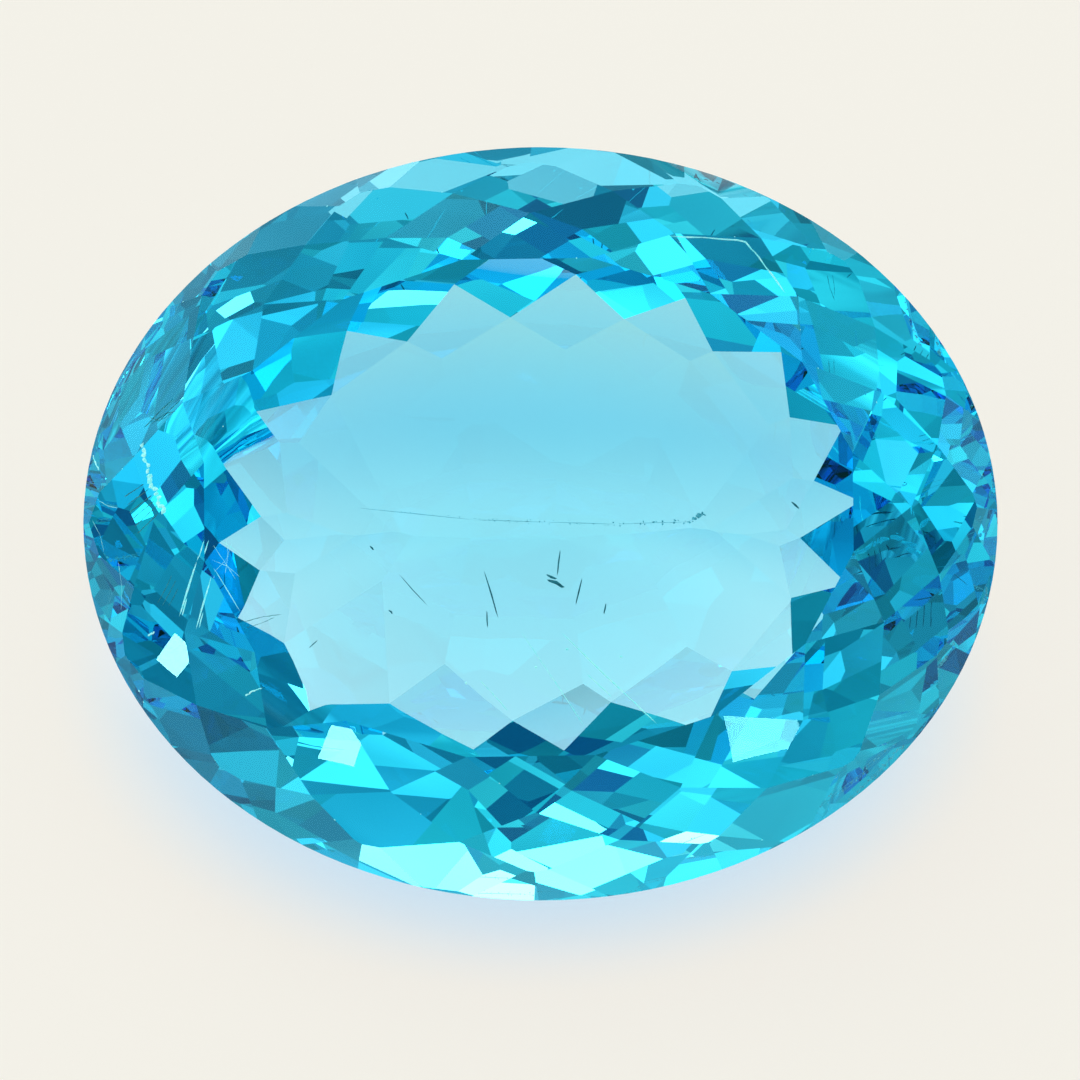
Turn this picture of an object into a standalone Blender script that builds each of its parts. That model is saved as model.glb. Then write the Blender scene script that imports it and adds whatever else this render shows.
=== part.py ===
"""A faceted oval topaz: a low stepped crown with a sixteen-sided table, a girdle, and a pavilion of
six staggered rows of facets that close in a short curved keel, with a row of small facets above and
below the girdle. It lies on the front facet of the keel."""

import math

import bmesh
import bpy
from mathutils import Matrix, Vector

# All lengths below are in millimetres. The stone is cut lying table up: X along the oval,
# Y across it, Z out of the table, zero half way up the girdle.
MM = 0.001
HALF_LENGTH = 12.0
HALF_WIDTH = 9.9
GIRDLE_HALF = 0.28
GIRDLE_SIDES = 128
GIRDLE_TURN = -1.5
RIM_FACET_EXTRA = 4.0
ROUGH_TOP = 4.0
ROUGH_BOTTOM = -10.0
SNAP = 0.002
MERGE = 0.02

# Crown. Each ring is an oval between the table's outline and the girdle's.
CROWN_STEPS = 16
CROWN_TURN = 0.53
TABLE_HEIGHT = 2.5
TABLE_HALF_LENGTH = 8.6
TABLE_HALF_WIDTH = 6.6
TABLE_SHIFT_X = -0.3
TABLE_SHIFT_Y = 0.3
STAR_SHARE = 0.37
STAR_DROP = 0.47
RHOMB_SHARE = 0.62

# Pavilion. Each row has a facet for every direction here, in degrees clockwise from the back,
# and the rows between are staggered by half a step.
FACING = [
    -4, 16, 36, 56, 76, 96, 116, 136, 161, 186, 211, 236, 256, 276, 296, 316, 336,
]

# Two rings of corners where the see-through inner facets meet, as X and Y of each corner, going
# the same way round.
INNER_CORNERS = [
    (-0.6, 5.6), (2.4, 5.5), (4.7, 4.6), (6.7, 2.8), (7.3, 1.1), (6.9, -0.4),
    (6.6, -2.0), (5.0, -3.9), (1.8, -4.6), (-0.8, -5.0), (-4.0, -4.4), (-6.8, -2.8),
    (-7.4, -0.9), (-7.3, 0.5), (-6.7, 2.4), (-5.3, 3.6), (-3.3, 5.0),
]
OUTER_CORNERS = [
    (1.1, 6.7), (4.0, 6.0), (6.5, 4.5), (8.1, 2.5), (8.5, 0.5), (8.1, -1.7),
    (6.6, -3.8), (4.2, -5.5), (0.5, -5.9), (-1.9, -5.8), (-6.0, -4.4), (-8.0, -2.1),
    (-8.5, -0.2), (-8.2, 1.7), (-7.3, 3.2), (-4.9, 5.3), (-2.1, 6.5),
]
KEEL_SLOPE = 28.8
KEEL_SLOPE_EXTRA = 3.7
MIDDLE_TIP_SHARE = 0.63
OUTER_TIP_SHARE = 0.29

# How deep below the middle of the girdle a corner lies, by how far it is inside the outline.
CORNER_INSETS = [0.0, 1.0, 2.1, 3.2, 5.0]
CORNER_DEPTHS = [0.3, 2.2, 3.5, 4.65, 6.05]

# The facet of the keel that the stone lies on, counted like the corners.
RESTING_FACET = 9


def inset(x, y):
    """How far a point lies inside the girdle's outline, close to the outline."""
    share = math.hypot(x / HALF_LENGTH, y / HALF_WIDTH)
    sine = x / HALF_LENGTH / share
    cosine = y / HALF_WIDTH / share
    spread = math.hypot(HALF_WIDTH * sine, HALF_LENGTH * cosine)
    return (1 - share) * HALF_LENGTH * HALF_WIDTH / spread


def outward(x, y):
    """The level direction square to the oval through a point."""
    return Vector((x / HALF_LENGTH**2, y / HALF_WIDTH**2, 0)).normalized()


def clockwise(degrees):
    """The level direction at an angle clockwise from the back."""
    turn = math.radians(degrees)
    return Vector((math.sin(turn), math.cos(turn), 0))


def corner(x, y):
    """A corner of the pavilion, set as deep as the cut is there."""
    distance = inset(x, y)
    for outer, inner in zip(range(4), range(1, 5)):
        if distance <= CORNER_INSETS[inner] or inner == 4:
            break
    share = (distance - CORNER_INSETS[outer]) / (CORNER_INSETS[inner] - CORNER_INSETS[outer])
    depth = CORNER_DEPTHS[outer] + share * (CORNER_DEPTHS[inner] - CORNER_DEPTHS[outer])
    return Vector((x, y, -depth))


def reach(direction):
    """How far the girdle's outline reaches along a level direction."""
    return math.hypot(HALF_LENGTH * direction.x, HALF_WIDTH * direction.y)


def rim(direction, height):
    """The point of the girdle's outline whose tangent faces a level direction."""
    scale = reach(direction)
    x = HALF_LENGTH**2 * direction.x / scale
    y = HALF_WIDTH**2 * direction.y / scale
    return Vector((x, y, height))


def through(first, second, third, upward):
    """The plane through three points, as a point and a normal that faces up or down."""
    normal = (second - first).cross(third - first).normalized()
    if (normal.z > 0) != upward:
        normal.negate()
    return first, normal


def leaning(point, direction, slope, upward):
    """The plane through a point that faces a level direction at a slope from the level."""
    rise = math.cos(slope) if upward else -math.cos(slope)
    return point, Vector((direction.x * math.sin(slope), direction.y * math.sin(slope), rise))


def onto(plane, spot):
    """The point of a plane straight above or below a spot."""
    point, normal = plane
    drop = (spot - point).dot(normal) / normal.z
    return Vector((spot.x, spot.y, spot.z - drop))


def down_to_rim(tip, direction, height, upward):
    """The plane from a corner to the girdle's outline, facing a level direction."""
    edge = rim(direction, height)
    run = (edge - tip).dot(direction)
    slope = math.atan2(abs(tip.z - height), run)
    return leaning(tip, direction, slope, upward)


def rim_facets(row, directions, height, upward):
    """Small facets on the girdle, a pair to each facet of a row and a little steeper than it."""
    found = []
    for i, (_, normal) in enumerate(row):
        slope = math.acos(abs(normal.z)) + math.radians(RIM_FACET_EXTRA)
        for neighbour in (i - 1, (i + 1) % len(row)):
            edge = (directions[i] + directions[neighbour]).normalized()
            facing = (directions[i] + edge).normalized()
            found.append(leaning(rim(facing, height), facing, slope, upward))
    return found


def ring(share, height, half_step):
    """A ring of crown corners between the table's outline and the girdle's."""
    corners = []
    for step in range(CROWN_STEPS):
        turn = 2 * math.pi * (step + half_step + CROWN_TURN) / CROWN_STEPS
        length = TABLE_HALF_LENGTH + share * (HALF_LENGTH - TABLE_HALF_LENGTH)
        width = TABLE_HALF_WIDTH + share * (HALF_WIDTH - TABLE_HALF_WIDTH)
        x = TABLE_SHIFT_X * (1 - share) + length * math.sin(turn)
        y = TABLE_SHIFT_Y * (1 - share) + width * math.cos(turn)
        corners.append(Vector((x, y, height)))
    return corners


def crown_planes():
    """The table, the four staggered rows below it and the small facets on the girdle."""
    table = ring(0.0, TABLE_HEIGHT, 0.0)
    stars = ring(STAR_SHARE, TABLE_HEIGHT - STAR_DROP, 0.5)
    spots = ring(RHOMB_SHARE, 0.0, 0.0)
    star_row, upper_row, lower_row, girdle_row = [], [], [], []
    rhombs, directions = [], []
    for step in range(CROWN_STEPS):
        upper_row.append(through(table[step], stars[step - 1], stars[step], True))
        rhombs.append(onto(upper_row[step], spots[step]))
    for step in range(CROWN_STEPS):
        following = (step + 1) % CROWN_STEPS
        star_row.append(through(table[step], table[following], stars[step], True))
        lower_row.append(through(stars[step], rhombs[step], rhombs[following], True))
        direction = outward(rhombs[step].x, rhombs[step].y)
        directions.append(direction)
        girdle_row.append(down_to_rim(rhombs[step], direction, GIRDLE_HALF, True))
    rim_row = rim_facets(girdle_row, directions, GIRDLE_HALF, True)
    top = [(table[0], Vector((0, 0, 1)))]
    return top + star_row + upper_row + lower_row + girdle_row + rim_row


def tips(directions, widths, share):
    """The outer corners of a row, each inside the outline by a share of the cut's width there."""
    found = []
    for direction, width in zip(directions, widths):
        spot = rim(direction, 0.0) - direction * width * share
        found.append(corner(spot.x, spot.y))
    return found


def pavilion_rows():
    """The small facets on the girdle and six staggered rows, from the girdle in to the keel."""
    count = len(FACING)
    inner = [corner(x, y) for x, y in INNER_CORNERS]
    outer = [corner(x, y) for x, y in OUTER_CORNERS]
    square = [clockwise(degrees) for degrees in FACING]
    between = [outward(x, y) for x, y in OUTER_CORNERS]
    ahead = [(between[i - 1] + between[i]).normalized() for i in range(count)]
    widths = [inset(x, y) for x, y in OUTER_CORNERS]
    mean_widths = [(widths[i - 1] + widths[i]) / 2 for i in range(count)]
    middle_tips = tips(ahead, mean_widths, MIDDLE_TIP_SHARE)
    outer_tips = tips(between, widths, OUTER_TIP_SHARE)
    keel, inner_row, middle_row, outer_row, lower_row, girdle_row = [], [], [], [], [], []
    for i in range(count):
        following = (i + 1) % count
        slope = math.radians(KEEL_SLOPE + KEEL_SLOPE_EXTRA * square[i].x ** 2)
        keel.append(leaning(inner[i], square[i], slope, False))
        inner_row.append(through(inner[i], inner[following], outer[i], False))
        middle_row.append(through(inner[i], outer[i - 1], outer[i], False))
        outer_row.append(through(outer[i], middle_tips[i], middle_tips[following], False))
        lower_row.append(through(middle_tips[i], outer_tips[i - 1], outer_tips[i], False))
        girdle_row.append(down_to_rim(outer_tips[i], between[i], -GIRDLE_HALF, False))
    rim_row = rim_facets(girdle_row, between, -GIRDLE_HALF, False)
    return [rim_row, girdle_row, lower_row, outer_row, middle_row, inner_row, keel]


def cut(mesh, plane):
    """Cuts away all that lies outside a plane and closes the cut with one flat facet."""
    point, normal = plane
    everything = mesh.verts[:] + mesh.edges[:] + mesh.faces[:]
    bmesh.ops.bisect_plane(
        mesh, geom=everything, dist=SNAP, plane_co=point, plane_no=normal, clear_outer=True
    )
    rim_edges = [edge for edge in mesh.edges if edge.is_boundary]
    if rim_edges:
        bmesh.ops.contextual_create(mesh, geom=rim_edges)


def oval_blank():
    """An upright oval prism, the girdle's outline carried up and down past the cuts."""
    mesh = bmesh.new()
    bmesh.ops.create_circle(mesh, cap_ends=True, segments=GIRDLE_SIDES, radius=1.0)
    turn = Matrix.Rotation(math.radians(GIRDLE_TURN), 4, "Z")
    for vertex in mesh.verts:
        vertex.co = turn @ Vector((vertex.co.x * HALF_LENGTH, vertex.co.y * HALF_WIDTH, ROUGH_BOTTOM))
    raised = bmesh.ops.extrude_face_region(mesh, geom=mesh.faces[:])["geom"]
    for vertex in [item for item in raised if isinstance(item, bmesh.types.BMVert)]:
        vertex.co.z = ROUGH_TOP
    bmesh.ops.recalc_face_normals(mesh, faces=mesh.faces[:])
    return mesh


def lay_down(mesh, normal):
    """Turns the facet with this normal to face straight down, the oval still lying along X."""
    turn = normal.rotation_difference(Vector((0, 0, -1))).to_matrix()
    along = turn @ Vector((1, 0, 0))
    facing = Vector((along.x, along.y, 0)).normalized().rotation_difference(Vector((1, 0, 0)))
    bmesh.ops.transform(mesh, matrix=(facing.to_matrix() @ turn).to_4x4(), verts=mesh.verts[:])


def rest_on_ground(mesh):
    """Moves the stone so that the middle of its box is over the origin and its base at zero."""
    low = Vector([min(vertex.co[axis] for vertex in mesh.verts) for axis in range(3)])
    high = Vector([max(vertex.co[axis] for vertex in mesh.verts) for axis in range(3)])
    middle = (low + high) / 2
    for vertex in mesh.verts:
        vertex.co -= Vector((middle.x, middle.y, low.z))
        if abs(vertex.co.z) < SNAP:
            vertex.co.z = 0


def topaz_material():
    """Clear blue stone."""
    material = bpy.data.materials.new("blue_topaz")
    material.use_nodes = True
    shader = material.node_tree.nodes["Principled BSDF"]
    shader.inputs["Base Color"].default_value = (0.35, 0.78, 0.92, 1)
    shader.inputs["Transmission Weight"].default_value = 1.0
    shader.inputs["Roughness"].default_value = 0.0
    shader.inputs["IOR"].default_value = 1.62
    material.diffuse_color = (0.3, 0.7, 0.88, 1)
    return material


def build():
    for item in list(bpy.data.objects):
        bpy.data.objects.remove(item)
    stone = oval_blank()
    for plane in crown_planes():
        cut(stone, plane)
    rows = pavilion_rows()
    for row in rows:
        for plane in row:
            cut(stone, plane)
    bmesh.ops.remove_doubles(stone, verts=stone.verts[:], dist=MERGE)
    bmesh.ops.dissolve_degenerate(stone, edges=stone.edges[:], dist=MERGE)
    lay_down(stone, rows[-1][RESTING_FACET][1])
    rest_on_ground(stone)
    bmesh.ops.scale(stone, vec=(MM, MM, MM), verts=stone.verts[:])
    bmesh.ops.recalc_face_normals(stone, faces=stone.faces[:])
    shape = bpy.data.meshes.new("topaz")
    stone.to_mesh(shape)
    stone.free()
    shape.materials.append(topaz_material())
    gem = bpy.data.objects.new("topaz", shape)
    holder = bpy.data.collections.new("faceted oval topaz")
    bpy.context.scene.collection.children.link(holder)
    holder.objects.link(gem)


build()
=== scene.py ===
import math
import random

import bmesh
import bpy
from mathutils import Matrix, Vector
from mathutils.bvhtree import BVHTree


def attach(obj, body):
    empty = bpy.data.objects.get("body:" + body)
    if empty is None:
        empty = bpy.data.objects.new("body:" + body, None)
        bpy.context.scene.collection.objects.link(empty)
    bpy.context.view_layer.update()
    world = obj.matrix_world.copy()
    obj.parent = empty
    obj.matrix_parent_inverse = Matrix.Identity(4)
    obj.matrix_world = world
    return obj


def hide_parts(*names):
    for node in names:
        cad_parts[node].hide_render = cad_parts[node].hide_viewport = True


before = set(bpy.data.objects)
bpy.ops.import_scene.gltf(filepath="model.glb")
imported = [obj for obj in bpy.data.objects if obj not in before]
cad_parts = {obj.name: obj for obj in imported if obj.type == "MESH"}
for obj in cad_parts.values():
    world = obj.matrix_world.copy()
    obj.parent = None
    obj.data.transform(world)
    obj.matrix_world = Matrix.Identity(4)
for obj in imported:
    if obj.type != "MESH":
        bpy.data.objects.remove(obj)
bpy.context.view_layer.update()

chance = random.Random(7)

# The photograph's frame, and the stone's place in it, in pixels.
PHOTO_SIDE = 1080
STONE_LEFT = 84.0
STONE_RIGHT = 997.0
STONE_MIDDLE_X = 540.5
STONE_MIDDLE_Y = 523.5

# The stone's own sizes, in metres. The oval's middle lies under the table by the table's height.
MM = 0.001
STONE_LENGTH = 24.0 * MM
TABLE_HEIGHT = 2.5 * MM

# How its triangles become facets again: corners nearer than the weld distance are one corner,
# and faces that bend by fewer degrees than the flat angle are one facet.
WELD_DISTANCE = 0.0005 * MM
FLAT_ANGLE = 0.4

# The table is the largest face that faces up by more than its rise. Girdle faces face along the
# table's normal by less than theirs. Crown edges shorter than the least edge get no nick.
TABLE_RISE = 0.5
GIRDLE_RISE = 0.02
LEAST_EDGE = 0.3 * MM

# How far a ray inside the stone starts beyond the facet that it comes from.
SKIN = 0.01 * MM

# Camera: how far off it is, how many degrees lower than square to the table, its sensor's width
# in millimetres and the nearest and farthest that it sees.
CAMERA_DISTANCE = 0.22
CAMERA_LOWER = 3.0
SENSOR_WIDTH = 36.0
NEAREST_SEEN = 0.005
FARTHEST_SEEN = 10.0

# Light, from a cloudy room. Each level or tint is a value of the clouds and the colour there.
ROOM_SCALE = 3.2
ROOM_DETAIL = 4.0
ROOM_ROUGHNESS = 0.64
ROOM_LEVELS = [
    (0.29, (0.00, 0.05, 0.13, 1)),
    (0.36, (0.02, 0.14, 0.18, 1)),
    (0.51, (0.16, 0.43, 0.47, 1)),
    (0.65, (1.00, 1.16, 1.14, 1)),
]
TINT_SCALE = 1.4
TINT_DETAIL = 1.0
ROOM_TINTS = [
    (0.42, (0.98, 1.06, 0.92, 1)),
    (0.58, (0.92, 0.98, 1.04, 1)),
]

# The room's strength before the stone and behind it, and where it changes, in degrees off the
# middle of the bright side. Directions lean from the table's normal and turn clockwise from the
# photograph's top.
ROOM_FRONT = 0.80
ROOM_BACK = 2.18
BACK_LEAN = 90.0
BACK_TURN = -10.0
FRONT_START = 115.0
BACK_START = 35.0

# Dark round places in the room: each one's lean, turn and half width in degrees.
SHADE_COLOUR = (0.03, 0.11, 0.22, 1)
SHADE_SOFT = 4.0
SHADES = [(10.0, 180.0, 12.0), (16.0, -32.0, 6.0)]

# Floor: its paper, and its even glow out in the open like a viewing table's, with painted light
# on it: the stone's blue light painted where it would fall, and a painted pool of lamplight under
# the stone. Each zone has a centre, a squash of its distances along each axis, and the distances
# where it starts and is full.
FLOOR_HALF_SIDE = 1.5
FLOOR_DROP = 0.03 * MM
FLOOR_DARK = (0.22, 0.17, 0.13, 1)
FLOOR_LIGHT = (0.25, 0.20, 0.16, 1)
FLOOR_MOTTLE = 18.0
FLOOR_DETAIL = 3.0
FLOOR_ROUGHNESS = 0.8
FLOOR_SPECULAR = 0.2
FLOOR_GLOW = (0.79, 0.72, 0.68, 1)
PAINTED_STONE_LIGHT = (0.55, 0.67, 0.81, 1)
PAINTED_POOL_LIGHT = (1.04, 0.90, 0.94, 1)
PAINTED_STONE_LIGHT_ZONE = ((0, 0, 0), (0.75, 1, 0), 10 * MM, 6.5 * MM)
PAINTED_POOL_ZONE = ((0, 1 * MM, 0), (0.45, 1, 0), 5.6 * MM, 3.0 * MM)

# Small softboxes, each placed so that the stone shows it at a pixel of the photograph: the
# pixel, the number of facets inside the stone that mirror it (none for a glint on the outside),
# the lamp's side in metres, its brightness and its colour.
BOX_DISTANCE = 0.5
WHITE = (0.95, 1.0, 0.97)
WARM = (2.2, 0.96, 0.90)
BOXES = [
    (764, 722, 0, 0.0060, 12.0, WHITE),
    (340, 746, 0, 0.0030, 24.0, WHITE),
    (182, 655, 0, 0.0026, 26.0, WHITE),
    (905, 448, 2, 0.034, 0.60, WARM),
    (197, 420, 2, 0.034, 3.4, WARM),
    (141, 508, 2, 0.034, 1.9, WHITE),
    (405, 300, 2, 0.034, 2.3, WARM),
    (463, 250, 3, 0.034, 3.4, WARM),
    (525, 278, 3, 0.034, 2.2, WARM),
    (345, 745, 2, 0.034, 1.7, WHITE),
    (511, 891, 1, 0.030, 3.2, WHITE),
    (487, 882, 1, 0.030, 3.6, WHITE),
    (383, 862, 1, 0.030, 3.0, WHITE),
    (466, 870, 1, 0.026, 3.0, WHITE),
    (530, 867, 1, 0.026, 3.0, WHITE),
    (702, 839, 1, 0.026, 3.0, WHITE),
    (421, 864, 2, 0.032, 7.0, WHITE),
    (592, 871, 2, 0.032, 8.0, WHITE),
    (554, 879, 2, 0.032, 10.0, WHITE),
    (633, 862, 2, 0.026, 7.0, WHITE),
]

# Needles inside the stone: the pixels of their ends, the depths there and the width, in
# millimetres.
NEEDLES = [
    ((485, 570), (500, 618), 2.6, 3.4, 0.045),
    ((488, 610), (489, 627), 3.0, 3.3, 0.04),
    ((561, 550), (558, 576), 2.2, 2.6, 0.045),
    ((547, 574.5), (558, 578.5), 2.2, 2.3, 0.07),
    ((548, 579.5), (566, 587), 2.5, 2.7, 0.1),
    ((583, 578), (577, 605), 2.8, 3.3, 0.045),
    ((607, 603), (605, 614), 3.0, 3.1, 0.045),
    ((400, 574), (429, 605), 2.0, 2.8, 0.025),
    ((371, 546), (375, 550), 2.0, 2.1, 0.05),
    ((390, 609), (394, 613), 2.2, 2.3, 0.05),
    ((310, 647), (319, 639), 2.0, 2.2, 0.03),
    ((791, 502), (799, 509), 1.6, 1.8, 0.06),
]
PALE_NEEDLES = [
    ((179, 617), (197, 561), 0.5, 0.8, 0.06),
    ((182, 616), (187, 598), 0.5, 0.6, 0.045),
    ((197, 561), (209, 540), 0.8, 0.9, 0.035),
    ((196, 629), (211, 577), 0.5, 0.8, 0.05),
    ((199, 628), (203, 612), 0.5, 0.6, 0.035),
    ((213, 567), (241, 612), 0.6, 0.9, 0.025),
]

# Scratches on the surface: the pixels along them and the width in millimetres.
SCRATCHES = [
    ([(561, 632), (610, 680), (657, 724)], 0.04),
    ([(520, 630), (553, 679), (585, 727)], 0.025),
    ([(587, 674), (600, 686), (612, 697)], 0.03),
    ([(480, 680), (495, 696), (508, 711)], 0.03),
    ([(669, 236), (743, 240), (757, 255), (785, 293)], 0.06),
    ([(93, 455), (95, 462), (99, 470)], 0.05),
    ([(148, 636), (151, 634), (155, 632)], 0.06),
    ([(245, 696), (253, 691), (262, 688)], 0.05),
    ([(213, 545), (224, 561), (236, 580)], 0.014),
    ([(220, 540), (234, 549), (247, 560)], 0.012),
    ([(212, 560), (227, 566), (240, 577)], 0.012),
    ([(226, 538), (228, 556), (225, 574)], 0.012),
    ([(232, 543), (226, 560), (214, 572)], 0.010),
    ([(98, 500), (108, 506), (118, 508)], 0.016),
    ([(92, 520), (100, 535), (104, 552)], 0.014),
    ([(118, 560), (122, 588), (121, 610)], 0.014),
]
DARK_SCRATCHES = [
    ([(144, 428), (158, 413), (173, 399)], 0.035),
    ([(152, 424), (164, 414), (176, 411)], 0.03),
    ([(160, 420), (172, 408), (184, 396)], 0.03),
    ([(149, 417), (160, 421), (173, 412)], 0.025),
    ([(157, 604), (166, 588), (172, 575)], 0.02),
    ([(162, 606), (170, 592), (176, 580)], 0.02),
    ([(168, 607), (174, 597), (178, 588)], 0.02),
    ([(243, 622), (262, 617), (282, 614)], 0.02),
    ([(246, 628), (262, 623), (275, 617)], 0.015),
    ([(124, 497), (144, 484)], 0.03),
    ([(127, 505), (149, 489)], 0.03),
    ([(129, 513), (152, 495)], 0.03),
    ([(131, 520), (155, 500)], 0.03),
    ([(134, 527), (158, 505)], 0.03),
    ([(137, 534), (158, 514)], 0.03),
]

# Specks on the surface.
SPECKS = [(567, 649), (536, 667), (621, 657), (466, 683), (140, 691)]
SPECK_SIZE = 0.06 * MM
SPECK_LIFT = 0.02 * MM

# A chain of chips at the left: its pixels, how many chips, how many pixels one may lie off the
# line, the range of their sizes in millimetres, and their lift as a share of the size.
CHIP_CHAIN = [(142, 443), (146, 458), (150, 474), (154, 487), (159, 500), (165, 513)]
CHAIN_CHIPS = 15
CHAIN_JITTER = 1.5
CHAIN_SIZES = (0.10, 0.16)
CHAIN_LIFT = 0.36

# Nicks in the crown's edges: how many, where along an edge, and the range of their sizes in
# millimetres.
EDGE_NICKS = 60
NICK_SHARES = (0.1, 0.9)
NICK_SIZES = (0.02, 0.045)

# The worn keel: its pixels and how many chips it has, which crowd towards the right end. A chip
# lies some pixels off the line. Its size in millimetres is at least KEEL_LEAST and at most
# KEEL_MOST, which grows towards the right, and it sinks into the stone by a share of its size.
KEEL_LINE = [(362, 508), (480, 521), (550, 524), (620, 525.6), (690, 522.4), (706, 513)]
KEEL_CHIPS = 90
KEEL_CROWDING = 0.7
KEEL_JITTER = 2.2
KEEL_LEAST = 0.015
KEEL_MOST = 0.025
KEEL_GROWTH = 0.05
KEEL_SINK = 0.3
KEEL_LINE_SINK = 0.02 * MM
KEEL_LINE_WIDTH = 0.014 * MM

# A needle's rings: the share of its length where each one is, and its share of the width.
NEEDLE_RINGS = ((0.12, 0.6), (0.5, 1.0), (0.85, 0.7))
NEEDLE_SIDES = 5
NEEDLE_CROOK = 0.3

# A scratch's cross-section, as shares of its width.
SCRATCH_PLACES = 14
SCRATCH_BREADTHS = (0.45, 1.0)
SCRATCH_SHIFT = 0.25
SCRATCH_FOOT = 0.02
SCRATCH_RIDGE = 0.35
SCRATCH_TIP = 0.05

# A chip's outline and its two peaks, as shares of its size.
CHIP_SIDES = 9
CHIP_TURN = 0.25
CHIP_REACHES = (0.35, 1.0)
CHIP_HEIGHTS = (-0.25, 0.2)
CHIP_NARROWING = 0.7
CHIP_PEAKS = ((0, 0, 0.3), (0.1, 0, -0.35))

# Stone
TOPAZ_IOR = 1.62
ABSORBED_COLOUR = (0.04, 0.864, 0.968)
ABSORPTION_DENSITY = 130.0
SURFACE_TINT = (0.25, 0.85, 1.0, 1)
GIRDLE_FROST = 0.35
WAVE_SCALE = 320.0
WAVE_HEIGHT = 0.003 * MM

# Marks' surfaces, each from its darkest to its lightest colour.
MOTTLE_SCALE = 9000.0
MOTTLE_DETAIL = 2.0
MOTTLE_START = 0.35
MOTTLE_END = 0.65
MOTTLE_HEIGHT = 0.003 * MM
MARK_ROUGHNESS = 0.55
NEEDLE_COLOURS = ((0.01, 0.09, 0.11, 1), (0.04, 0.20, 0.24, 1))
PALE_COLOURS = ((0.25, 0.90, 0.92, 1), (0.60, 1.00, 1.00, 1))
GROOVE_COLOURS = ((0.01, 0.14, 0.16, 1), (0.05, 0.28, 0.30, 1))
KEEL_COLOURS = ((0.14, 0.30, 0.34, 1), (0.40, 0.58, 0.62, 1))

# The places of a colour mix's sockets.
MIX_SHARE = 0
MIX_FIRST = 6
MIX_SECOND = 7
MIX_RESULT = 2

# The most turns that light takes in the stone and off rough surfaces, and the most that one
# mirrored path adds.
STONE_BOUNCES = 18
DIFFUSE_BOUNCES = 1
BRIGHTEST_PATH = 5.0


def stone_axes(shape):
    """The directions along and across the oval and the table's normal, with the oval's middle."""
    table = max(
        (face for face in shape.faces if face.normal.z > TABLE_RISE),
        key=lambda face: face.calc_area(),
    )
    out = table.normal.copy()
    along = (Vector((1, 0, 0)) - out * out.x).normalized()
    across = out.cross(along)
    places = [(v.co.dot(along), v.co.dot(across)) for v in shape.verts]
    middle_x = (min(p[0] for p in places) + max(p[0] for p in places)) / 2
    middle_y = (min(p[1] for p in places) + max(p[1] for p in places)) / 2
    height = table.verts[0].co.dot(out) - TABLE_HEIGHT
    middle = along * middle_x + across * middle_y + out * height
    return along, across, out, middle


def polished_stone(source):
    """The stone as whole flat facets."""
    shape = bmesh.new()
    shape.from_mesh(source.data)
    bmesh.ops.remove_doubles(shape, verts=shape.verts[:], dist=WELD_DISTANCE)
    bmesh.ops.dissolve_limit(
        shape,
        angle_limit=math.radians(FLAT_ANGLE),
        verts=shape.verts[:],
        edges=shape.edges[:],
    )
    bmesh.ops.recalc_face_normals(shape, faces=shape.faces[:])
    return shape


def frost_girdle(shape):
    """Marks the girdle's faces, which are left ground instead of polished."""
    frost = shape.faces.layers.float.new("frost")
    for face in shape.faces:
        if abs(face.normal.dot(out)) < GIRDLE_RISE:
            face[frost] = GIRDLE_FROST


def crown_edges(shape):
    """The ends of every long enough facet edge on the crown and the girdle."""
    found = []
    for edge in shape.edges:
        rises = [face.normal.dot(out) for face in edge.link_faces]
        if min(rises) > -GIRDLE_RISE and edge.calc_length() > LEAST_EDGE:
            found.append((edge.verts[0].co.copy(), edge.verts[1].co.copy()))
    return found


def add_object(name, shape, material):
    """An object made from a bmesh."""
    mesh = bpy.data.meshes.new(name)
    shape.to_mesh(mesh)
    shape.free()
    mesh.materials.append(material)
    item = bpy.data.objects.new(name, mesh)
    bpy.context.scene.collection.objects.link(item)
    return item


def ride_on_stone(piece):
    """Fixes a piece to the stone."""
    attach(piece, "root")


def new_material(name):
    """A material with only a shader and its output."""
    material = bpy.data.materials.new(name)
    material.use_nodes = True
    tree = material.node_tree
    tree.nodes.clear()
    output = tree.nodes.new("ShaderNodeOutputMaterial")
    shader = tree.nodes.new("ShaderNodeBsdfPrincipled")
    tree.links.new(shader.outputs["BSDF"], output.inputs["Surface"])
    return material, tree, shader, output


def place_output(tree, kind):
    """The place on an object, or the direction in the world."""
    return tree.nodes.new("ShaderNodeTexCoord").outputs[kind]


def noise_value(tree, place, scale, detail, roughness=0.5):
    """A cloudy value."""
    noise = tree.nodes.new("ShaderNodeTexNoise")
    noise.inputs["Scale"].default_value = scale
    noise.inputs["Detail"].default_value = detail
    noise.inputs["Roughness"].default_value = roughness
    tree.links.new(place, noise.inputs["Vector"])
    return noise.outputs["Fac"]


def ramp_colour(tree, share, stops):
    """A colour that goes through some stops, each a share and the colour there."""
    node = tree.nodes.new("ShaderNodeValToRGB")
    elements = node.color_ramp.elements
    elements[0].position, elements[0].color = stops[0]
    elements[1].position, elements[1].color = stops[-1]
    for position, colour in stops[1:-1]:
        elements.new(position).color = colour
    tree.links.new(share, node.inputs["Fac"])
    return node.outputs["Color"]


def bumped_normal(tree, value, height):
    """The surface's normal, tipped by a value that stands for some height."""
    bump = tree.nodes.new("ShaderNodeBump")
    bump.inputs["Strength"].default_value = 1.0
    bump.inputs["Distance"].default_value = height
    tree.links.new(value, bump.inputs["Height"])
    return bump.outputs["Normal"]


def vector_output(tree, operation, first, second=None, result="Vector"):
    """What a vector operation gives for an output and an output or fixed vector."""
    node = tree.nodes.new("ShaderNodeVectorMath")
    node.operation = operation
    tree.links.new(first, node.inputs[0])
    if isinstance(second, bpy.types.NodeSocket):
        tree.links.new(second, node.inputs[1])
    elif second is not None:
        node.inputs[1].default_value = second
    return node.outputs[result]


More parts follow.
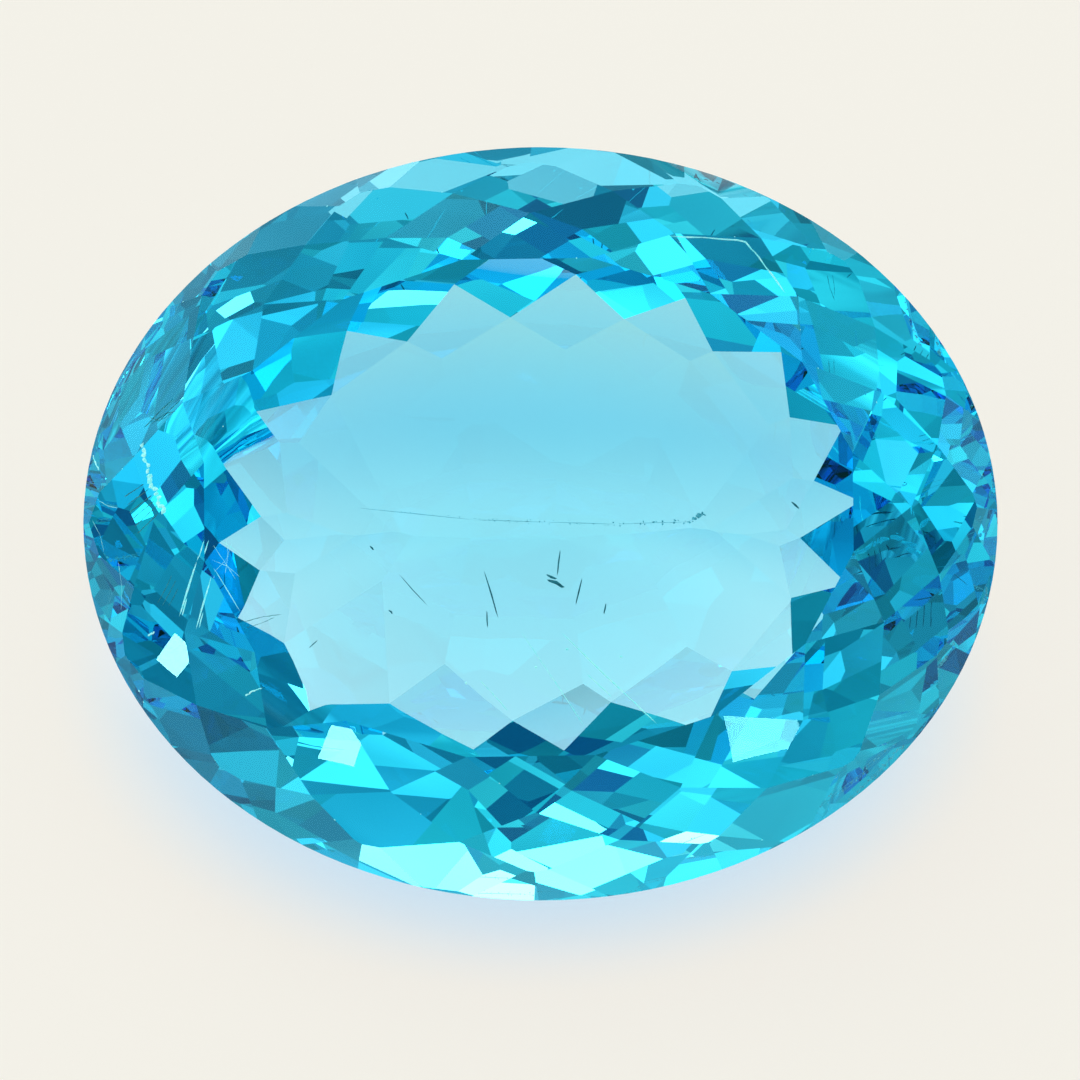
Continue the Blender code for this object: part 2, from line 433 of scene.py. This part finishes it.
def smooth_share(tree, value, start, end, low, high):
    """A value that goes smoothly from low to high as another goes from start to end."""
    share = tree.nodes.new("ShaderNodeMapRange")
    share.interpolation_type = "SMOOTHSTEP"
    share.inputs["From Min"].default_value = start
    share.inputs["From Max"].default_value = end
    share.inputs["To Min"].default_value = low
    share.inputs["To Max"].default_value = high
    tree.links.new(value, share.inputs["Value"])
    return share.outputs["Result"]


def mixed(tree, share, first, second):
    """A colour mixed from an output or a fixed colour and a second fixed colour."""
    mix = tree.nodes.new("ShaderNodeMix")
    mix.data_type = "RGBA"
    tree.links.new(share, mix.inputs[MIX_SHARE])
    if isinstance(first, tuple):
        mix.inputs[MIX_FIRST].default_value = first
    else:
        tree.links.new(first, mix.inputs[MIX_FIRST])
    mix.inputs[MIX_SECOND].default_value = second
    return mix.outputs[MIX_RESULT]


def topaz_material():
    """Clear blue topaz, its flats a little wavy from polishing and its girdle frosted."""
    material, tree, shader, output = new_material("blue topaz")
    shader.inputs["Base Color"].default_value = (1, 1, 1, 1)
    shader.inputs["Transmission Weight"].default_value = 1.0
    shader.inputs["IOR"].default_value = TOPAZ_IOR
    shader.inputs["Specular Tint"].default_value = SURFACE_TINT
    frost = tree.nodes.new("ShaderNodeAttribute")
    frost.attribute_name = "frost"
    tree.links.new(frost.outputs["Fac"], shader.inputs["Roughness"])
    wave = noise_value(tree, place_output(tree, "Object"), WAVE_SCALE, 0.0)
    tree.links.new(bumped_normal(tree, wave, WAVE_HEIGHT), shader.inputs["Normal"])
    absorb = tree.nodes.new("ShaderNodeVolumeAbsorption")
    absorb.inputs["Color"].default_value = (*ABSORBED_COLOUR, 1)
    absorb.inputs["Density"].default_value = ABSORPTION_DENSITY
    tree.links.new(absorb.outputs["Volume"], output.inputs["Volume"])
    return material


def zone_share(tree, place, centre, squash, start, full):
    """A value that rises from 0 to 1 as a place on the floor gets nearer to a zone's centre."""
    offset = vector_output(tree, "SUBTRACT", place, centre)
    flat = vector_output(tree, "MULTIPLY", offset, squash)
    reach = vector_output(tree, "LENGTH", flat, result="Value")
    return smooth_share(tree, reach, start, full, 0.0, 1.0)


def floor_material():
    """Pale warm paper with a faint mottle, lit from below like a viewing table, with a painted pool of
    light and the stone's blue light painted under the stone.
    """
    material, tree, shader, _ = new_material("pale floor")
    place = place_output(tree, "Object")
    mottle = noise_value(tree, place, FLOOR_MOTTLE, FLOOR_DETAIL)
    paper = ramp_colour(tree, mottle, [(0.0, FLOOR_DARK), (1.0, FLOOR_LIGHT)])
    tree.links.new(paper, shader.inputs["Base Color"])
    # Painted light: a bluish glow where the stone's light would fall, and a brighter pool under the
    # stone.
    glow = mixed(tree, zone_share(tree, place, *PAINTED_STONE_LIGHT_ZONE), FLOOR_GLOW, PAINTED_STONE_LIGHT)
    glow = mixed(tree, zone_share(tree, place, *PAINTED_POOL_ZONE), glow, PAINTED_POOL_LIGHT)
    tree.links.new(glow, shader.inputs["Emission Color"])
    shader.inputs["Emission Strength"].default_value = 1.0
    shader.inputs["Roughness"].default_value = FLOOR_ROUGHNESS
    shader.inputs["Specular IOR Level"].default_value = FLOOR_SPECULAR
    return material


def frosted_material(name, colours, transmission, glow):
    """A rough broken surface with a fine mottle, which scatters light from inside the stone, and a
    painted glow in its own colours.
    """
    material, tree, shader, _ = new_material(name)
    mottle = noise_value(tree, place_output(tree, "Object"), MOTTLE_SCALE, MOTTLE_DETAIL)
    colour = ramp_colour(tree, mottle, list(zip((MOTTLE_START, MOTTLE_END), colours)))
    tree.links.new(colour, shader.inputs["Base Color"])
    # Painted light: the mark glows in its own colours, though it is no lamp.
    tree.links.new(colour, shader.inputs["Emission Color"])
    tree.links.new(bumped_normal(tree, mottle, MOTTLE_HEIGHT), shader.inputs["Normal"])
    shader.inputs["Emission Strength"].default_value = glow
    shader.inputs["Roughness"].default_value = MARK_ROUGHNESS
    shader.inputs["Transmission Weight"].default_value = transmission
    return material


def add_camera():
    """A camera that sees the stone as the photograph does."""
    data = bpy.data.cameras.new("camera")
    data.sensor_width = SENSOR_WIDTH
    data.lens = SENSOR_WIDTH * CAMERA_DISTANCE / (PHOTO_SIDE * metres_per_pixel)
    data.clip_start = NEAREST_SEEN
    data.clip_end = FARTHEST_SEEN
    camera = bpy.data.objects.new("camera", data)
    turned = Matrix((along, up, back)).transposed().to_4x4()
    camera.matrix_world = Matrix.Translation(camera_place) @ turned
    bpy.context.scene.collection.objects.link(camera)
    bpy.context.scene.camera = camera


def pixel_ray(x, y):
    """The direction from the camera through a pixel of the photograph."""
    spot = frame_middle + along * (x - PHOTO_SIDE / 2) * metres_per_pixel
    spot += up * (PHOTO_SIDE / 2 - y) * metres_per_pixel
    return (spot - camera_place).normalized()


def on_surface(x, y):
    """The point of the stone's surface at a pixel of the photograph, and the normal there."""
    spot, normal, _, _ = stone_tree.ray_cast(camera_place, pixel_ray(x, y))
    return spot, normal


def next_facet(spot, ray):
    """Where a ray inside the stone meets its surface, and the normal there."""
    far, normal, _, _ = stone_tree.ray_cast(spot + ray * SKIN, ray)
    return far, normal


def mirrored(ray, normal):
    """A direction mirrored by a facet."""
    return ray - 2 * ray.dot(normal) * normal


def bent_ray(x, y):
    """Where the ray through a pixel enters the stone, and its direction inside."""
    ray = pixel_ray(x, y)
    spot, normal = on_surface(x, y)
    facing = -ray.dot(normal)
    deep = math.sqrt(1 - (1 - facing * facing) / TOPAZ_IOR**2)
    return spot, ray / TOPAZ_IOR + normal * (facing / TOPAZ_IOR - deep)


def leaving_ray(x, y, mirrors):
    """Where the ray through a pixel leaves the stone after some facets mirror it, and its direction."""
    if mirrors == 0:
        spot, normal = on_surface(x, y)
        return spot, mirrored(pixel_ray(x, y), normal)
    spot, ray = bent_ray(x, y)
    for _ in range(mirrors):
        spot, normal = next_facet(spot, ray)
        ray = mirrored(ray, normal)
    spot, normal = next_facet(spot, ray)
    facing = ray.dot(normal)
    straight = math.sqrt(1 - (1 - facing * facing) * TOPAZ_IOR**2)
    return spot, ray * TOPAZ_IOR - normal * (facing * TOPAZ_IOR - straight)


def inside(pixel, depth):
    """The point at a depth inside the stone that shows at a pixel of the photograph."""
    spot, ray = bent_ray(*pixel)
    return spot + ray * depth * MM


def under_table(x, y):
    """The point of the stone's far side that shows at a pixel, and the normal there."""
    return next_facet(*bent_ray(x, y))


def along_line(points, share):
    """The point at a share of the way along a line of points, counted by its parts."""
    place = share * (len(points) - 1)
    part = min(int(place), len(points) - 2)
    share = place - part
    first, second = points[part], points[part + 1]
    return first[0] + (second[0] - first[0]) * share, first[1] + (second[1] - first[1]) * share


def close_tube(shape, first_tip, rings, last_tip):
    """The faces of a closed tube through some rings of corners, from one tip to another."""
    sides = len(rings[0])
    for step in range(sides):
        following = (step + 1) % sides
        shape.faces.new((first_tip, rings[0][following], rings[0][step]))
        shape.faces.new((last_tip, rings[-1][step], rings[-1][following]))
        for low, high in zip(rings, rings[1:]):
            shape.faces.new((low[step], low[following], high[following], high[step]))


def add_spindle(shape, start, end, width):
    """A closed needle between two points, thickest at its middle and slightly crooked."""
    axis = (end - start).normalized()
    side = axis.orthogonal().normalized()
    other = axis.cross(side)
    rings = []
    for share, swell in NEEDLE_RINGS:
        crook = chance.uniform(-NEEDLE_CROOK, NEEDLE_CROOK)
        centre = start.lerp(end, share) + (side * crook) * width
        corners = []
        for step in range(NEEDLE_SIDES):
            turn = 2 * math.pi * step / NEEDLE_SIDES
            arm = side * math.cos(turn) + other * math.sin(turn)
            corners.append(shape.verts.new(centre + arm * width * 0.5 * swell))
        rings.append(corners)
    close_tube(shape, shape.verts.new(start), rings, shape.verts.new(end))


def add_scratch(shape, pixels, width):
    """A low broken ridge along a line of pixels on the stone's surface."""
    shares = [step / (SCRATCH_PLACES - 1) for step in range(SCRATCH_PLACES)]
    places = [on_surface(*along_line(pixels, share)) for share in shares]
    direction = (places[-1][0] - places[0][0]).normalized()
    rows = []
    for spot, normal in places[1:-1]:
        side = normal.cross(direction).normalized()
        breadth = width * chance.uniform(*SCRATCH_BREADTHS)
        shift = side * width * chance.uniform(-SCRATCH_SHIFT, SCRATCH_SHIFT)
        foot = normal * SCRATCH_FOOT * width
        rows.append([
            shape.verts.new(spot + shift - side * breadth / 2 + foot),
            shape.verts.new(spot + shift + side * breadth / 2 + foot),
            shape.verts.new(spot + shift + normal * SCRATCH_RIDGE * width),
        ])
    tips = [
        shape.verts.new(spot + normal * SCRATCH_TIP * width)
        for spot, normal in (places[0], places[-1])
    ]
    close_tube(shape, tips[0], rows, tips[1])


def add_chip(shape, spot, normal, size):
    """A small flat broken flake that lies on a surface."""
    flat = normal.to_track_quat("Z", "Y").to_matrix()
    points = []
    for step in range(CHIP_SIDES):
        turn = 2 * math.pi * step / CHIP_SIDES + chance.uniform(-CHIP_TURN, CHIP_TURN)
        reach = chance.uniform(*CHIP_REACHES)
        height = chance.uniform(*CHIP_HEIGHTS)
        sideways = math.sin(turn) * reach * CHIP_NARROWING
        points.append(Vector((math.cos(turn) * reach, sideways, height)))
    points += [Vector(peak) for peak in CHIP_PEAKS]
    spin = Matrix.Rotation(chance.uniform(0, math.pi), 3, "Z")
    corners = [shape.verts.new(spot + flat @ (spin @ point) * size) for point in points]
    hull = bmesh.ops.convex_hull(shape, input=corners)
    spare = [item for item in hull["geom_interior"] if isinstance(item, bmesh.types.BMVert)]
    bmesh.ops.delete(shape, geom=spare, context="VERTS")


def from_stone(lean, turn):
    """The direction that leans from the table's normal, turned clockwise from the photograph's top."""
    lean = math.radians(lean)
    turn = math.radians(turn)
    level = along * math.sin(turn) + across * math.cos(turn)
    return out * math.cos(lean) + level * math.sin(lean)


def facing_share(tree, place, axis, start, end, low, high):
    """A value that goes from low to high as the direction turns from start to end degrees off an axis."""
    facing = vector_output(tree, "DOT_PRODUCT", place, axis, "Value")
    far = math.cos(math.radians(start))
    near = math.cos(math.radians(end))
    return smooth_share(tree, facing, far, near, low, high)


def studio_world():
    """A cool room with soft light and dark places all round, brighter behind the stone than before it."""
    world = bpy.data.worlds.new("studio")
    world.use_nodes = True
    tree = world.node_tree
    ground = tree.nodes["Background"]
    place = place_output(tree, "Generated")
    clouds = noise_value(tree, place, ROOM_SCALE, ROOM_DETAIL, ROOM_ROUGHNESS)
    levels = ramp_colour(tree, clouds, ROOM_LEVELS)
    hues = noise_value(tree, place, TINT_SCALE, TINT_DETAIL)
    tints = ramp_colour(tree, hues, ROOM_TINTS)
    colour = vector_output(tree, "MULTIPLY", levels, tints)
    for lean, turn, half in SHADES:
        axis = from_stone(lean, turn)
        shade = facing_share(tree, place, axis, half + SHADE_SOFT, half - SHADE_SOFT, 0.0, 1.0)
        colour = mixed(tree, shade, colour, SHADE_COLOUR)
    bright_side = from_stone(BACK_LEAN, BACK_TURN)
    strength = facing_share(
        tree, place, bright_side, FRONT_START, BACK_START, ROOM_FRONT, ROOM_BACK
    )
    tree.links.new(colour, ground.inputs["Color"])
    tree.links.new(strength, ground.inputs["Strength"])
    bpy.context.scene.world = world


def add_box_lamp(name, x, y, mirrors, size, brightness, colour):
    """A square softbox that the stone shows to the camera at a pixel of the photograph."""
    spot, ray = leaving_ray(x, y, mirrors)
    lamp = bpy.data.lights.new(name, "AREA")
    lamp.shape = "SQUARE"
    lamp.size = size
    lamp.energy = brightness * math.pi * size * size
    lamp.color = colour
    item = bpy.data.objects.new(name, lamp)
    item.location = spot + ray * BOX_DISTANCE
    item.rotation_mode = "QUATERNION"
    item.rotation_quaternion = (-ray).to_track_quat("-Z", "Y")
    bpy.context.scene.collection.objects.link(item)


def add_needles(name, needles, material):
    """A piece with a needle inside the stone for each row."""
    shape = bmesh.new()
    for start, end, depth_start, depth_end, width in needles:
        add_spindle(shape, inside(start, depth_start), inside(end, depth_end), width * MM)
    ride_on_stone(add_object(name, shape, material))


def add_scratches(name, lines, specks, material):
    """A piece with a scratch on the stone for each line of pixels, and its specks."""
    shape = bmesh.new()
    for pixels, width in lines:
        add_scratch(shape, pixels, width * MM)
    for x, y in specks:
        spot, normal = on_surface(x, y)
        add_chip(shape, spot + normal * SPECK_LIFT, normal, SPECK_SIZE)
    ride_on_stone(add_object(name, shape, material))


def add_chip_chain(material):
    """A line of chips across the crown's left side."""
    shape = bmesh.new()
    for number in range(CHAIN_CHIPS):
        x, y = along_line(CHIP_CHAIN, (number + 0.5) / CHAIN_CHIPS)
        spot, normal = on_surface(x + chance.uniform(-CHAIN_JITTER, CHAIN_JITTER), y)
        size = chance.uniform(*CHAIN_SIZES) * MM
        add_chip(shape, spot + normal * CHAIN_LIFT * size, normal, size)
    ride_on_stone(add_object("chip_chain", shape, material))


def add_edge_nicks(material):
    """Tiny nicks in some of the crown's and the girdle's edges."""
    shape = bmesh.new()
    for first, second in chance.sample(edge_places, EDGE_NICKS):
        spot = first.lerp(second, chance.uniform(*NICK_SHARES))
        outward = (spot - middle).normalized()
        add_chip(shape, spot, outward, chance.uniform(*NICK_SIZES) * MM)
    ride_on_stone(add_object("edge_nicks", shape, material))


def add_worn_keel(material):
    """The keel's fine worn line, with chips that crowd and grow towards its right end."""
    shape = bmesh.new()
    for number in range(KEEL_CHIPS):
        share = chance.random() ** KEEL_CROWDING
        x, y = along_line(KEEL_LINE, share)
        spot, normal = under_table(x, y + chance.uniform(-KEEL_JITTER, KEEL_JITTER))
        most = KEEL_MOST + KEEL_GROWTH * share * share
        size = chance.uniform(KEEL_LEAST, most) * MM
        add_chip(shape, spot - normal * KEEL_SINK * size, -normal, size)
    for first, second in zip(KEEL_LINE, KEEL_LINE[1:]):
        start, start_normal = under_table(*first)
        end, end_normal = under_table(*second)
        start -= start_normal * KEEL_LINE_SINK
        end -= end_normal * KEEL_LINE_SINK
        add_spindle(shape, start, end, KEEL_LINE_WIDTH)
    ride_on_stone(add_object("keel_chips", shape, material))


# Stone
stone_shape = polished_stone(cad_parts["topaz"])
along, across, out, middle = stone_axes(stone_shape)
stone_tree = BVHTree.FromBMesh(stone_shape)
frost_girdle(stone_shape)
edge_places = crown_edges(stone_shape)
stone = add_object("topaz_cut", stone_shape, topaz_material())
ride_on_stone(stone)
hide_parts("topaz")

# Floor
floor_shape = bmesh.new()
bmesh.ops.create_grid(floor_shape, x_segments=1, y_segments=1, size=FLOOR_HALF_SIDE)
floor = add_object("floor", floor_shape, floor_material())
floor.location.z = -FLOOR_DROP

# The photograph's view of the stone
metres_per_pixel = STONE_LENGTH / (STONE_RIGHT - STONE_LEFT)
tilt = Matrix.Rotation(math.radians(CAMERA_LOWER), 3, along)
back = tilt @ out
up = tilt @ across
frame_middle = middle + up * (STONE_MIDDLE_Y - PHOTO_SIDE / 2) * metres_per_pixel
frame_middle -= along * (STONE_MIDDLE_X - PHOTO_SIDE / 2) * metres_per_pixel
camera_place = frame_middle + back * CAMERA_DISTANCE
add_camera()

# Light
studio_world()
for number, box in enumerate(BOXES, 1):
    add_box_lamp(f"soft_box_{number}", *box)

# Marks; all but the dark grooves have a painted glow, which lights them though they are no lamp
dark_inclusion = frosted_material("dark inclusion", NEEDLE_COLOURS, transmission=0.0, glow=0.35)
pale_inclusion = frosted_material("pale inclusion", PALE_COLOURS, transmission=0.25, glow=0.4)
pale_mark = frosted_material("pale mark", PALE_COLOURS, transmission=0.0, glow=0.22)
dark_groove = frosted_material("dark groove", GROOVE_COLOURS, transmission=0.0, glow=0.0)
worn_keel_and_painted_glow = frosted_material("worn keel and painted glow", KEEL_COLOURS, transmission=0.0, glow=0.45)
add_needles("dark_needles", NEEDLES, dark_inclusion)
add_needles("pale_needles", PALE_NEEDLES, pale_inclusion)
add_scratches("scratches", SCRATCHES, SPECKS, pale_mark)
add_scratches("dark_scratches", DARK_SCRATCHES, [], dark_groove)
add_chip_chain(pale_mark)
add_edge_nicks(pale_mark)
add_worn_keel(worn_keel_and_painted_glow)

# How far light is followed, and how its colours are shown
cycles = bpy.context.scene.cycles
cycles.max_bounces = STONE_BOUNCES
cycles.transmission_bounces = STONE_BOUNCES
cycles.glossy_bounces = STONE_BOUNCES
cycles.diffuse_bounces = DIFFUSE_BOUNCES
cycles.sample_clamp_indirect = BRIGHTEST_PATH
bpy.context.scene.view_settings.view_transform = "Standard"
